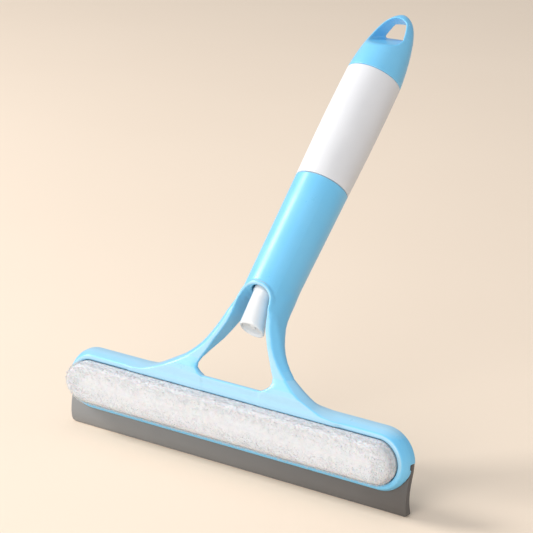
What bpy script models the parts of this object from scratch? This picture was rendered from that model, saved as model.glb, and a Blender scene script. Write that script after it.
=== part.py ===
"""Window squeegee with a spray bottle in its handle.

World frame, metres: +X along the blade, +Y away from the window pad, +Z up.
The origin is the middle of the rubber blade's lower edge, on which the squeegee stands.
Lengths below are millimetres; MM turns them into metres when a mesh is made.
"""
import math

import bmesh
import bpy
from mathutils import Matrix, Vector

MM = 0.001

# Head: a stadium outline in the XZ plane, growing wider towards its back.
HEAD_Z = 32.5              # height of the head's centre line
FRONT_Y = -9.2             # plane of the rim's flat front face
HALF_STRAIGHT = 108.1      # half length of the outline's straight stretch
RIM_R = 16.9               # outline radius at the front rim
WELL_R = 14.1              # radius of the pad's well
WELL_DEPTH = 3.2
BACK_R = 20.1              # widest outline radius, near the back
BACK_DEPTH = 12.0          # rim front to the head's flat back face
BACK_Y = FRONT_Y + BACK_DEPTH

# Handle: its axis leans back from the head's plane and passes through AXIS_FOOT.
TILT = math.radians(41.4)
AXIS_FOOT = Vector((0.0, -34.9, HEAD_Z))
SLEEVE_START = 80.0        # stations along the handle's axis, from AXIS_FOOT
ARCH_TOP = 94.0
BORE_START = 98.0
SLEEVE_END = 174.85
BOTTLE_END = 255.4
CAP_TOP = 304.6
SLEEVE_R = 16.6            # at SLEEVE_START; the sleeve widens to SLEEVE_END_R
SLEEVE_END_R = 17.7
BORE_R = 14.8
BOTTLE_R = 18.5
GAP = 0.3                  # clearance between neighbouring pieces

# Rubber blade.
BLADE_HALF = 127.0
BLADE_TOP = 33.0

# Spray nozzle: its own axis is bent towards the front from the handle's axis.
SPOUT_BEND = math.radians(17.2)
SPOUT_END = (0.4, 70.8)    # (towards the front, station) of the free end's centre
SPOUT_FACE = math.radians(21.0)  # the end's face is turned this much further to the front
PRESS_TRAVEL = 5.0

# Bottle thread.
THREAD_PITCH = 3.0
THREAD_TURNS = 2.0

FINE = 56                  # sides of a large round piece
COARSE = 32                # sides of a small round piece


# ---------------------------------------------------------------- helpers

def clear_scene():
    for obj in list(bpy.data.objects):
        bpy.data.objects.remove(obj, do_unlink=True)


def make_material(name, colour, roughness, metallic=0.0):
    mat = bpy.data.materials.new(name)
    mat.use_nodes = True
    shader = mat.node_tree.nodes["Principled BSDF"]
    shader.inputs["Base Color"].default_value = (*colour, 1.0)
    shader.inputs["Roughness"].default_value = roughness
    shader.inputs["Metallic"].default_value = metallic
    return mat


def make_object(name, bm, mat=None, smooth_angle=40.0):
    """Turn a bmesh in millimetres into an object in metres."""
    bmesh.ops.recalc_face_normals(bm, faces=bm.faces)
    bmesh.ops.scale(bm, vec=(MM, MM, MM), verts=bm.verts)
    mesh = bpy.data.meshes.new(name)
    bm.to_mesh(mesh)
    bm.free()
    obj = bpy.data.objects.new(name, mesh)
    bpy.context.scene.collection.objects.link(obj)
    if mat:
        mesh.materials.append(mat)
    finish_shading(obj, smooth_angle)
    return obj


def finish_shading(obj, smooth_angle=40.0):
    obj.data.shade_smooth()
    obj.data.set_sharp_from_angle(angle=math.radians(smooth_angle))


def on_handle(obj):
    """Place a piece modelled about local Z on the handle's axis."""
    obj.matrix_world = Matrix.Translation(AXIS_FOOT * MM) @ Matrix.Rotation(-TILT, 4, "X")
    return obj


def spout_matrix():
    """Local Z runs up the spout from the centre of its free end."""
    front, station = SPOUT_END
    place = Matrix.Translation(Vector((0.0, -front, station)) * MM)
    handle = Matrix.Translation(AXIS_FOOT * MM) @ Matrix.Rotation(-TILT, 4, "X")
    return handle @ place @ Matrix.Rotation(SPOUT_BEND, 4, "X")


def on_spout(obj):
    """Place a piece modelled about local Z on the spout, with its end face turned forward."""
    shear = Matrix.Identity(4)
    shear[2][1] = -math.tan(SPOUT_FACE)
    obj.data.transform(shear)
    obj.matrix_world = spout_matrix()
    return obj


def combine(obj, tool, operation):
    """Apply a Boolean with another object, which is used up."""
    bpy.context.view_layer.update()
    step = obj.modifiers.new(operation, "BOOLEAN")
    step.operation = operation
    step.solver = "EXACT"
    step.object = tool
    graph = bpy.context.evaluated_depsgraph_get()
    result = bpy.data.meshes.new_from_object(obj.evaluated_get(graph))
    obj.modifiers.clear()
    old = obj.data
    obj.data = result
    bpy.data.meshes.remove(old)
    bpy.data.objects.remove(tool, do_unlink=True)
    return obj


def turned(name, profile, mat=None, sides=COARSE, closed=True):
    """Spin (radius, station) points about local Z. A closed profile makes a ring or tube."""
    bm = bmesh.new()
    verts = [bm.verts.new((radius, 0.0, station)) for radius, station in profile]
    edges = [bm.edges.new(pair) for pair in zip(verts, verts[1:])]
    if closed:
        edges.append(bm.edges.new((verts[-1], verts[0])))
    bmesh.ops.spin(bm, geom=verts + edges, cent=(0, 0, 0), axis=(0, 0, 1),
                   angle=math.tau, steps=sides, use_merge=True)
    bmesh.ops.remove_doubles(bm, verts=bm.verts, dist=1e-4)
    return make_object(name, bm, mat)


def extruded(name, outline, low, high, to_point, mat=None):
    """Extrude a closed 2-D outline; to_point(a, b, depth) gives each corner."""
    bm = bmesh.new()
    near = [bm.verts.new(to_point(a, b, low)) for a, b in outline]
    far = [bm.verts.new(to_point(a, b, high)) for a, b in outline]
    bm.faces.new(near)
    bm.faces.new(far)
    count = len(outline)
    for i in range(count):
        j = (i + 1) % count
        bm.faces.new((near[i], near[j], far[j], far[i]))
    return make_object(name, bm, mat)


def along_x(a, b, depth):
    """Outline in the YZ plane, depth along X."""
    return (depth, a, b)


def along_y(a, b, depth):
    """Outline in the XZ plane, depth along Y."""
    return (a, depth, b)


def along_front(a, b, depth):
    """In the handle's own frame: outline across and along it, depth towards the front."""
    return (a, -depth, b)


def stadium(radius, half=HALF_STRAIGHT, steps=14):
    """Stadium outline about the head's centre line, as (x, z) points."""
    points = []
    for side in (1, -1):
        for i in range(steps + 1):
            angle = side * (math.pi / 2 - math.pi * i / steps)
            x = side * (half + radius * math.cos(angle))
            points.append((x, HEAD_Z + radius * math.sin(angle)))
    return points


def stadium_loft(name, rings, mat=None, half=HALF_STRAIGHT):
    """Skin stadium outlines given as (y, radius) and cap both ends."""
    bm = bmesh.new()
    loops = []
    for y, radius in rings:
        loops.append([bm.verts.new((x, y, z)) for x, z in stadium(radius, half)])
    count = len(loops[0])
    for low, high in zip(loops, loops[1:]):
        for i in range(count):
            j = (i + 1) % count
            bm.faces.new((low[i], low[j], high[j], high[i]))
    bm.faces.new(loops[0])
    bm.faces.new(loops[-1])
    return make_object(name, bm, mat)


def mirrored(half_outline):
    """Close a right-hand half outline with its mirror image."""
    return half_outline + [(-x, z) for x, z in reversed(half_outline) if x > 0]


# ---------------------------------------------------------------- frame moulding

def head_body():
    wall = [(0.0, 16.3), (0.25, 16.75), (0.9, 17.2), (3.0, 18.35), (5.0, 19.25),
            (7.5, 19.9), (10.2, BACK_R), (11.3, 19.7), (BACK_DEPTH, 18.8)]
    return stadium_loft("main_frame", [(FRONT_Y + depth, radius) for depth, radius in wall])


# One leg of the yoke, station by station above the head's centre line:
# (height, front y, back y at the inside, back y at the outside, inner x, outer x, roundness).
# The foot is a thin web on its inner side and deep on its outer side.
# Roundness 0 is a bevelled slab, 1 is a piece of the sleeve's own round wall.
LEG = [
    (12.0, -8.2, -4.0, 0.8, 22.0, 79.0, 0.0),
    (16.9, -8.8, -4.0, 1.0, 22.0, 78.0, 0.0),
    (18.2, -9.0, -4.0, 1.2, 22.0, 69.0, 0.0),
    (20.9, -9.1, -4.6, 1.3, 22.0, 61.0, 0.0),
    (24.2, -9.2, -5.6, 1.6, 24.3, 54.0, 0.0),
    (25.2, -8.8, -5.4, 1.8, 26.0, 51.5, 0.0),
    (27.0, -8.1, -4.9, 2.2, 27.2, 49.2, 0.0),
    (29.5, -6.3, -3.2, 3.0, 27.8, 45.4, 0.0),
    (32.4, -4.1, -0.9, 4.4, 27.0, 41.0, 0.0),
    (36.5, -2.7, 2.4, 6.8, 24.8, 36.3, 0.0),
    (40.0, -1.6, 6.8, 8.8, 23.0, 33.0, 0.05),
    (44.0, -0.4, 11.8, 11.0, 20.9, 29.8, 0.1),
    (48.0, 1.0, 15.4, 13.4, 18.7, 27.0, 0.18),
    (52.0, 2.8, 18.4, 16.4, 16.6, 24.5, 0.3),
    (56.0, 4.4, 21.8, 20.0, 14.7, 22.2, 0.45),
    (60.0, 6.1, 26.6, 25.4, 13.2, 20.0, 0.65),
    (64.0, 8.1, 30.8, 30.4, 12.2, 18.2, 0.85),
    (68.0, 10.3, 34.8, 34.8, 11.5, 17.0, 1.0),
    (72.0, 12.2, 37.2, 37.2, 11.0, 16.6, 1.0),
]


def leg(side):
    """Skin horizontal sections of one leg; its top ends inside the sleeve's wall."""
    bm = bmesh.new()
    loops = []
    for rise, front, inside, outside, inner, outer, roundness in LEG:
        centre = AXIS_FOOT.y + rise * math.tan(TILT)
        bevel = min(3.6, 0.3 * (outside - front), 0.3 * (outer - inner))
        edge = min(0.8, 0.25 * (inside - front))
        corners = [(inner + 0.8, front), (outer - bevel, front), (outer, front + bevel),
                   (outer, outside - bevel), (outer - bevel, outside), (inner + 0.8, inside)]
        section = []
        for (ax, ay), (bx, by) in zip(corners, corners[1:]):
            for turn in (0.0, 0.5):
                section.append((ax + (bx - ax) * turn, ay + (by - ay) * turn))
        section.append(corners[-1])
        for i, (x, y) in enumerate(section):
            target = front + (outside - front) * i / (len(section) - 1)
            swing = max(-1.0, min(1.0, (target - centre) * math.cos(TILT) / SLEEVE_R))
            curved = max(SLEEVE_R * math.sqrt(1.0 - swing * swing), inner + 0.8)
            section[i] = (x + roundness * (curved - x), y + roundness * (target - y))
        section.append((inner - 0.6, section[-1][1] - edge))
        section.append((inner, front + edge))
        loops.append([bm.verts.new((side * x, y, HEAD_Z + rise)) for x, y in section])
    count = len(loops[0])
    for low, high in zip(loops, loops[1:]):
        for i in range(count):
            j = (i + 1) % count
            bm.faces.new((low[i], low[j], high[j], high[i]))
    bm.faces.new(loops[0])
    bm.faces.new(loops[-1])
    return make_object("leg", bm)


def sill():
    """Rail that joins the legs' feet along the head's top."""
    outline = [(FRONT_Y, 44.0), (FRONT_Y, 55.3), (FRONT_Y + 0.6, 55.9), (-6.4, 55.9), (-5.9, 55.2),
               (-5.6, 50.0), (1.3, 47.0), (1.3, 44.0)]
    return extruded("sill", outline, -27.0, 27.0, along_x)


def sleeve():
    """The solid lower handle, cut to a shoulder behind the legs."""
    body = turned("sleeve", [(0, SLEEVE_START), (SLEEVE_R, SLEEVE_START),
                             (SLEEVE_END_R, SLEEVE_END), (0, SLEEVE_END)], sides=FINE, closed=False)
    shoulder = [(3.4, 60), (3.8, 78), (6.3, 91.5), (8.0, 93.6), (11.0, 95.0), (14.0, 96.0),
                (16.2, 98.0), (17.3, 101), (40, 101), (40, 60)]
    heel = extruded("heel", shoulder, -40, 40, along_x)
    combine(body, heel, "DIFFERENCE")
    return on_handle(body)


def arch_cutter():
    """Round-topped window between the legs, square to the handle's axis."""
    arch = [(14.5, 60), (13.4, 70), (12.3, 76.4), (11.5, 81), (10.8, 85.3), (9.6, 88.6),
            (7.9, 91.2), (5.2, 93.2), (2.5, 94.0), (0.0, ARCH_TOP + 0.2)]
    return on_handle(extruded("window", mirrored(arch), -40, 40, along_front))


def bore_cutters():
    """Bottle bore, and the oval hole that the nozzle moves through."""
    bore = turned("bore", [(0, BORE_START), (BORE_R, BORE_START), (BORE_R, SLEEVE_END + 5),
                           (0, SLEEVE_END + 5)], sides=FINE, closed=False)
    oval = []
    for i in range(COARSE):
        angle = math.tau * i / COARSE
        oval.append((7.2 * math.cos(angle), -7.0 + 8.2 * math.sin(angle)))
    hole = extruded("hole", oval, ARCH_TOP - 14, BORE_START + 2, lambda a, b, depth: (a, b, depth))
    return on_handle(bore), on_handle(hole)


def blade_front():
    """Front side of the blade's section, top to bottom, as (y, z)."""
    return [(-2.6, BLADE_TOP), (-2.6, 30.6), (-1.4, 30.2), (-1.6, 27.2), (-2.9, 23.0),
            (-3.9, 19.0), (-4.5, 15.0), (-4.75, 11.0), (-4.7, 7.4), (-4.1, 4.0), (-3.1, 1.5),
            (-2.2, 0.0)]


def blade_back():
    """Back side of the blade's section, bottom to top, as (y, z)."""
    return [(2.2, 0.0), (2.3, 0.6), (1.4, 2.8), (0.4, 5.6), (-0.35, 9.0), (-0.6, 13.0),
            (-0.2, 17.0), (0.5, 20.5), (1.4, 24.0), (2.3, 27.2), (2.8, 29.4), (2.8, BLADE_TOP)]


def blade_channel():
    """Space for the blade, open to the head's back and underside."""
    front = [(y - GAP, z) for y, z in blade_front()[1:9]]
    top = BLADE_TOP + GAP
    outline = [(8.0, top), (-2.6 - GAP, top), (-2.6 - GAP, 30.3)]
    outline += [(-1.7, 29.9)] + front[2:] + [(-5.0, 2.0), (8.0, 2.0)]
    return extruded("channel", outline, -140, 140, along_x)


def frame_moulding(mat, screw_places):
    frame = head_body()
    for piece in (sill(), leg(1), leg(-1), sleeve()):
        combine(frame, piece, "UNION")
    combine(frame, arch_cutter(), "DIFFERENCE")
    well = stadium_loft("well", [(FRONT_Y - 2.0, WELL_R), (FRONT_Y + WELL_DEPTH, WELL_R)])
    for cutter in (well, *bore_cutters()):
        combine(frame, cutter, "DIFFERENCE")
    combine(frame, blade_channel(), "DIFFERENCE")
    for x, z in screw_places:
        pilot = turned("pilot", [(0, 0), (1.55, 0), (1.55, 12), (0, 12)], sides=16, closed=False)
        pilot.matrix_world = (Matrix.Translation(Vector((x, -4.2, z)) * MM)
                              @ Matrix.Rotation(-math.pi / 2, 4, "X"))
        combine(frame, pilot, "DIFFERENCE")
    frame.data.materials.clear()
    frame.data.materials.append(mat)
    finish_shading(frame, 35.0)
    return frame


# ---------------------------------------------------------------- blade and its clamp

def rubber_blade(mat):
    return extruded("rubber_blade", blade_front() + blade_back(), -BLADE_HALF, BLADE_HALF,
                    along_x, mat)


def blade_clamp(mat, screw_places):
    half, low, high, corner = 104.0, 23.5, 43.6, 6.0
    outline = []
    for cx, cz, start in ((half - corner, high - corner, 0), (corner - half, high - corner, 90),
                          (corner - half, low + corner, 180), (half - corner, low + corner, 270)):
        for i in range(7):
            angle = math.radians(start + 15 * i)
            outline.append((cx + corner * math.cos(angle), cz + corner * math.sin(angle)))
    plate = extruded("blade_clamp", outline, BACK_Y + GAP, BACK_Y + GAP + 2.8, along_y, mat)
    for x, z in screw_places:
        hole = turned("hole", [(0, 0), (1.55, 0), (1.55, 20), (0, 20)], sides=16, closed=False)
        hole.matrix_world = (Matrix.Translation(Vector((x, -4.0, z)) * MM)
                             @ Matrix.Rotation(-math.pi / 2, 4, "X"))
        combine(plate, hole, "DIFFERENCE")
    finish_shading(plate)
    return plate


def clamp_screw(name, x, z, mat):
    """Pan-head screw with a cross recess, driven in from the back."""
    shank = [(0, 0), (1.0, 0.8), (1.25, 1.4), (1.25, 10.0), (3.2, 10.0), (3.2, 10.9),
             (2.6, 11.7), (1.4, 12.1), (0, 12.2)]
    screw = turned(name, shank, mat, sides=20, closed=False)
    for angle in (0, math.pi / 2):
        slot = extruded("slot", [(-1.9, -0.35), (1.9, -0.35), (1.9, 0.35), (-1.9, 0.35)],
                        11.0, 13.0, lambda a, b, depth: (a, b, depth))
        slot.matrix_world = Matrix.Rotation(angle, 4, "Z")
        combine(screw, slot, "DIFFERENCE")
    finish_shading(screw)
    seat = BACK_Y + GAP + 2.8 + GAP
    screw.matrix_world = (Matrix.Translation(Vector((x, seat - 10.0, z)) * MM)
                          @ Matrix.Rotation(-math.pi / 2, 4, "X"))
    return screw


# ---------------------------------------------------------------- pad

def pad_pieces(hook_mat, backing_mat, pad_mat):
    floor_y = FRONT_Y + WELL_DEPTH
    stadium_loft("hook_strip", [(floor_y - GAP, 11.8), (floor_y - GAP - 1.0, 11.8)], hook_mat, 104.0)
    stadium_loft("pad_backing", [(floor_y - 1.6, 13.5), (floor_y - 3.2, 13.5)], backing_mat)
    face = floor_y - 7.2
    rings = [(floor_y - 3.5, 13.4), (floor_y - 4.3, 13.7), (face + 1.4, 13.6), (face + 0.6, 13.1),
             (face + 0.15, 12.3), (face, 11.2)]
    stadium_loft("microfibre_pad", rings, pad_mat)


# ---------------------------------------------------------------- pump

def nozzle_head(mat):
    """Flared spout, guide plate and stem socket, with one fluid way through them."""
    spout = turned("nozzle_head", [(0, 0.0), (7.9, 0.0), (8.2, 0.5), (8.15, 1.4), (7.6, 6.0),
                                   (6.8, 12.0), (5.95, 18.0), (5.45, 23.0), (5.2, 27.0),
                                   (4.6, 29.0), (4.6, 30.6), (0, 30.6)], mat, sides=40,
                   closed=False)
    on_spout(spout)
    plate = turned("plate", [(0, 100.2), (14.0, 100.2), (14.0, 103.6), (4.6, 103.6),
                             (4.6, 109.5), (0, 109.5)], sides=40, closed=False)
    combine(spout, on_handle(plate), "UNION")
    dish = turned("dish", [(0, -1), (7.0, -1), (6.6, 1.3), (0, 1.6)], closed=False)
    seat = turned("seat", [(0, 0), (2.5, 0), (2.5, 5.5), (1.2, 5.6), (1.2, 32.6), (0, 32.6)],
                  sides=20, closed=False)
    for tool in (dish, seat):
        combine(spout, on_spout(tool), "DIFFERENCE")
    socket = turned("socket", [(0, 101.3), (1.0, 101.3), (1.0, 104.6), (2.3, 104.6), (2.3, 112),
                               (0, 112)], sides=20, closed=False)
    combine(spout, on_handle(socket), "DIFFERENCE")
    cross = turned("cross", [(0, 0), (0.9, 0), (0.9, 10.4), (0, 10.4)], sides=12, closed=False)
    handle = Matrix.Translation(AXIS_FOOT * MM) @ Matrix.Rotation(-TILT, 4, "X")
    cross.matrix_world = (handle @ Matrix.Translation(Vector((0, 0, 101.9)) * MM)
                          @ Matrix.Rotation(math.pi / 2, 4, "X"))
    combine(spout, cross, "DIFFERENCE")
    finish_shading(spout, 35.0)
    return spout


def nozzle_insert(mat):
    disc = turned("nozzle_insert", [(0.35, 1.9), (2.2, 1.9), (2.2, 5.2), (1.4, 5.2), (1.4, 2.9),
                                    (0.35, 2.9)], mat, sides=20)
    return on_spout(disc)


def helix_sweep(name, radius, pitch, turns, start, section, per_turn, mat=None, taper=0.0):
    """Sweep a closed (out, up) section along a helix about local Z; taper thins both ends."""
    bm = bmesh.new()
    steps = round(turns * per_turn)
    loops = []
    for i in range(steps + 1):
        angle = math.tau * i / per_turn
        run = min(i, steps - i) / per_turn
        scale = min(1.0, 0.15 + run / taper) if taper else 1.0
        station = start + pitch * i / per_turn
        loop = []
        for out, up in section:
            r = radius + out * scale
            point = (r * math.cos(angle), r * math.sin(angle), station + up)
            loop.append(bm.verts.new(point))
        loops.append(loop)
    count = len(section)
    for low, high in zip(loops, loops[1:]):
        for i in range(count):
            j = (i + 1) % count
            bm.faces.new((low[i], low[j], high[j], high[i]))
    bm.faces.new(loops[0])
    bm.faces.new(loops[-1])
    return make_object(name, bm, mat)


def pump_pieces(plastic, clear, steel, rubber):
    """The coaxial pump, listed from the nozzle towards the bottle."""
    on_handle(turned("pump_stem", [(0.9, 105.0), (2.0, 105.0), (2.0, 131.2), (0.9, 131.2)], plastic,
                     sides=20))
    on_handle(turned("pump_retainer", [(2.3, 115.6), (7.6, 115.6), (7.9, 116.0), (7.9, 119.1),
                                       (2.3, 119.1)], plastic))
    on_handle(turned("pump_collar", [(8.3, 115.0), (13.9, 115.0), (14.5, 115.8), (14.5, 141.0),
                                     (13.2, 141.0), (13.2, 119.1), (8.3, 119.1)], plastic, 40))
    on_handle(turned("pump_piston", [(2.3, 123.0), (3.9, 123.0), (4.3, 122.2), (4.3, 124.0),
                                     (3.8, 124.8), (3.8, 128.4), (4.3, 129.2), (4.3, 130.4),
                                     (3.3, 129.8), (2.3, 129.8)], rubber))
    housing = [(4.6, 119.4), (12.8, 119.4), (12.8, 121.4), (5.9, 121.4), (5.9, 145.4),
               (3.7, 147.6), (3.7, 154.0), (2.5, 154.0), (2.5, 148.2), (0.8, 147.9),
               (0.8, 146.9), (1.9, 145.4), (1.9, 144.0), (4.6, 144.0)]
    on_handle(turned("pump_housing", housing, plastic))
    wire = [(0.45 * math.cos(math.tau * i / 6), 0.45 * math.sin(math.tau * i / 6)) for i in range(6)]
    on_handle(helix_sweep("return_spring", 3.4, 1.75, 7.0, 131.0, wire, 14, steel))
    bm = bmesh.new()
    bmesh.ops.create_uvsphere(bm, u_segments=16, v_segments=10, radius=1.4)
    bmesh.ops.translate(bm, verts=bm.verts, vec=(0, 0, 145.2))
    on_handle(make_object("check_ball", bm, steel))
    tube = on_handle(turned("dip_tube", [(1.5, 148.6), (2.2, 148.6), (2.2, 247.0), (1.5, 247.0)],
                            clear, sides=16))
    mitre = extruded("mitre", [(-4, 243), (4, 249), (4, 260), (-4, 260)], -6, 6,
                     lambda a, b, depth: (depth, a, b))
    combine(tube, on_handle(mitre), "DIFFERENCE")
    finish_shading(tube)
    on_handle(turned("neck_gasket", [(7.2, 121.8), (12.3, 121.8), (12.3, 123.2), (7.2, 123.2)],
                     rubber))


# ---------------------------------------------------------------- bottle and cap

def bottle(mat):
    outer = [(9.2, 123.5), (11.4, 123.5), (11.4, 141.4), (13.0, 142.0), (13.0, 143.2),
             (11.4, 143.8), (11.4, 147.0), (14.3, 157.0), (14.3, 174.7), (14.7, 175.15),
             (SLEEVE_END_R, 175.15), (18.0, 190), (18.35, 205), (BOTTLE_R, 222),
             (18.45, 238), (18.2, BOTTLE_END), (15.5, BOTTLE_END), (15.5, 262.0), (13.8, 264.0),
             (0, 264.0)]
    inner = [(0, 262.4), (13.0, 262.4), (13.9, 260.8), (13.9, 256.6), (16.5, 252.6),
             (16.85, 238), (16.9, 222), (16.6, 200), (16.1, 180), (12.7, 174.0), (12.7, 158.0),
             (9.2, 148.0)]
    body = turned("bottle", outer + inner, mat, sides=48)
    ridge = [(-0.6, -0.9), (0.75, -0.3), (0.75, 0.3), (-0.6, 0.9)]
    thread = helix_sweep("thread", 11.4, THREAD_PITCH, THREAD_TURNS, 127.0, ridge, 30, taper=0.25)
    combine(body, thread, "UNION")
    finish_shading(body)
    return on_handle(body)


# Cap: (station, half width, half depth).
CAP = [
    (BOTTLE_END + GAP, 18.2, 18.2), (260.0, 18.0, 17.8), (264.0, 17.6, 17.2), (268.0, 17.2, 16.5),
    (272.0, 16.7, 15.6), (276.0, 16.2, 14.5), (280.0, 15.6, 13.2), (284.0, 14.8, 11.8),
    (287.0, 14.1, 10.8), (290.0, 13.2, 9.7), (292.5, 12.3, 8.8), (295.0, 11.2, 7.8),
    (297.5, 9.8, 6.5), (299.5, 8.4, 5.4), (301.5, 6.5, 4.0), (303.0, 4.5, 2.8), (304.0, 2.5, 1.6),
]


def end_cap(mat):
    """Bullet-shaped cap that narrows front to back into a hanging loop."""
    bm = bmesh.new()
    loops = []
    for station, width, depth in CAP:
        loop = []
        for i in range(FINE):
            angle = math.tau * i / FINE
            loop.append(bm.verts.new((width * math.cos(angle), depth * math.sin(angle), station)))
        loops.append(loop)
    for low, high in zip(loops, loops[1:]):
        for i in range(FINE):
            j = (i + 1) % FINE
            bm.faces.new((low[i], low[j], high[j], high[i]))
    bm.faces.new(loops[0])
    top = bm.verts.new((0, 0, CAP_TOP))
    for i in range(FINE):
        bm.faces.new((loops[-1][i], loops[-1][(i + 1) % FINE], top))
    cap = make_object("end_cap", bm, mat)
    socket = turned("socket", [(0, 250), (15.8, 250), (15.8, 263.4), (14.0, 265.6), (0, 265.6)],
                    sides=48, closed=False)
    combine(cap, socket, "DIFFERENCE")
    combine(cap, hanging_hole(), "DIFFERENCE")
    finish_shading(cap)
    return on_handle(cap)


def hanging_hole():
    """Arched opening whose floor rises towards the back, so that it is level in the world."""
    bm = bmesh.new()
    loops = []
    for front in (20.0, -20.0):
        floor = 274.0 + (14.0 - front) * 0.783
        roof = 299.4 + (6.0 - front) * 0.1
        loop = [(-11.7, floor + 1.5), (-10.0, floor), (10.0, floor), (11.7, floor + 1.5)]
        for i in range(1, 12):
            angle = math.pi * i / 12
            x = 11.7 * math.cos(angle)
            z = floor + 1.5 + (roof - floor - 1.5) * math.sin(angle)
            loop.append((x, z))
        loops.append([bm.verts.new((x, -front, z)) for x, z in loop])
    count = len(loops[0])
    for i in range(count):
        j = (i + 1) % count
        bm.faces.new((loops[0][i], loops[0][j], loops[1][j], loops[1][i]))
    bm.faces.new(loops[0])
    bm.faces.new(loops[1])
    return make_object("hanging_hole", bm)


# ---------------------------------------------------------------- assembly

def build():
    clear_scene()
    blue = make_material("blue_moulding", (0.36, 0.70, 0.90), 0.35)
    grey = make_material("grey_rubber", (0.27, 0.26, 0.25), 0.6)
    white = make_material("white_plastic", (0.86, 0.87, 0.88), 0.35)
    milky = make_material("milky_bottle", (0.86, 0.86, 0.87), 0.45)
    clear = make_material("clear_tube", (0.80, 0.84, 0.86), 0.2)
    fibre = make_material("microfibre", (0.86, 0.86, 0.85), 0.95)
    hooks = make_material("hook_tape", (0.10, 0.10, 0.11), 0.8)
    foam = make_material("pad_foam", (0.55, 0.62, 0.66), 0.9)
    steel = make_material("steel", (0.62, 0.62, 0.62), 0.3, 1.0)
    seal = make_material("seal_rubber", (0.08, 0.08, 0.08), 0.7)

    screw_places = [(x, 38.7) for x in (-90.0, -45.0, 0.0, 45.0, 90.0)]
    frame_moulding(blue, screw_places)
    rubber_blade(grey)
    blade_clamp(blue, screw_places)
    for number, (x, z) in enumerate(screw_places, start=1):
        clamp_screw(f"clamp_screw_{number}", x, z, steel)
    pad_pieces(hooks, foam, fibre)
    nozzle_head(white)
    nozzle_insert(white)
    pump_pieces(white, clear, steel, seal)
    bottle(milky)
    end_cap(blue)


build()
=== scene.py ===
"""Window squeegee with a spray bottle in its handle, as it looks.

The row frame is the CAD's: +X along the blade, -Y out of the pad, +Z up, origin at the middle
of the blade's lower edge. Shapes are worked out in millimetres and stored in metres.
"""
import math

import bpy
import numpy as np
from mathutils import Matrix, Vector, noise


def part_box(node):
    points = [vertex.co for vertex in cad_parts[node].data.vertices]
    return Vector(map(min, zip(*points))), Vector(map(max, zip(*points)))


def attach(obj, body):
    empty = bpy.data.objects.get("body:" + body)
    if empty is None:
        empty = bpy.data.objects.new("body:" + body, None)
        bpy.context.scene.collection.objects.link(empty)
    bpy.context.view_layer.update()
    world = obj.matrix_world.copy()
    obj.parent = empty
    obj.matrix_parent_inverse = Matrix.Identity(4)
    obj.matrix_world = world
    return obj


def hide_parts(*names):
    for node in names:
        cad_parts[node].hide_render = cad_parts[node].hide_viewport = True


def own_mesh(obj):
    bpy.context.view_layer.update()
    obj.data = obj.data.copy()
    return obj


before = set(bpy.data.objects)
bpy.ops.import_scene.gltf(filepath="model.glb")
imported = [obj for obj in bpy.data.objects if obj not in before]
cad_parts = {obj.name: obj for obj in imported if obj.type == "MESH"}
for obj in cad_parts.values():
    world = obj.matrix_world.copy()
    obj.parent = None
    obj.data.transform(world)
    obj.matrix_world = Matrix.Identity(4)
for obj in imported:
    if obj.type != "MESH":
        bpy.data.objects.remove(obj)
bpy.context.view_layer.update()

MM = 0.001
SEED = 7

# Head: a stadium about the line z = HEAD_Z, widening with depth behind its front plane.
HEAD_Z = 32.5
FRONT_Y = -9.2
HALF_STRAIGHT = 108.1
HEAD_DEPTH = 12.0
RIM_DEPTH = [0.0, 2.0, 4.0, 6.5, 10.2, 12.0]
RIM_RADIUS = [16.9, 18.0, 19.0, 19.8, 20.1, 19.9]
WELL_R = 14.1
WELL_DEPTH = 3.2

# Handle: stations run up its axis from (0, AXIS_FOOT_Y, HEAD_Z); "front" or "off" is the distance
# from that axis towards the window.
TILT = math.radians(41.4)
AXIS_FOOT_Y = -34.9
SLEEVE_END = 174.85
BORE_START = 98.0
BORE_R = 14.8
ARCH_TOP = 94.2
SEAM = 255.4
CAP_TOP = 304.6

# Legs of the yoke, by height above HEAD_Z: the y of their front and back, the distance from the
# middle of their outer and inner walls, the width of the bevel on the outer wall, and a limit to
# the distance from the handle's axis.
LEG_RISE = [12, 16.9, 18.2, 20.9, 24, 27, 29.5, 32.4, 36.5, 40, 44, 48, 52, 56, 60, 64, 68, 72, 80]
LEG_FRONT = [-9.2, -9.2, -9.2, -9.2, -9.2, -8.0, -6.2, -4.3, -2.8, -1.6, -0.4, 1.0, 2.8, 4.4,
             6.1, 8.1, 10.3, 12.4, 14.6]
LEG_BACK = [1.3, 1.3, 1.3, 1.4, 1.7, 2.2, 3.0, 4.2, 6.4, 8.4, 10.8, 13.4, 16.6, 20.4, 25.4,
            30.2, 34.8, 37.6, 41.0]
LEG_INNER_BACK = [-4, -4, -4, -4.6, -5.6, -4.9, -3.2, -0.9, 2.6, 7.0, 12.0, 15.4, 18.4, 21.8,
                  26.6, 30.8, 34.8, 37.6, 41.0]
LEG_OUTER = [79, 77.5, 69, 62, 55.6, 50.2, 46.1, 41.2, 36.0, 32.2, 28.8, 26.2, 24.0, 21.8,
             19.8, 18.2, 17.3, 16.7, 15.8]
LEG_BEVEL = [0, 2, 2.5, 3.2, 4.0, 4.2, 4.2, 4.2, 4.1, 4.0, 3.9, 3.8, 3.8, 3.6,
             3.3, 2.6, 1.8, 1.0, 0]
LEG_INNER = [22, 22, 22, 22, 23.4, 27.2, 27.8, 27.0, 24.8, 23.0, 20.9, 18.7, 16.6, 14.7, 13.2,
             12.2, 11.5, 10.8, 10.0]
LEG_LIMIT = [200, 200, 200, 200, 200, 180, 150, 120, 90, 60, 50, 41, 34, 27.5, 22.6, 19.4,
             17.4, 16.0, 11.0]

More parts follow.
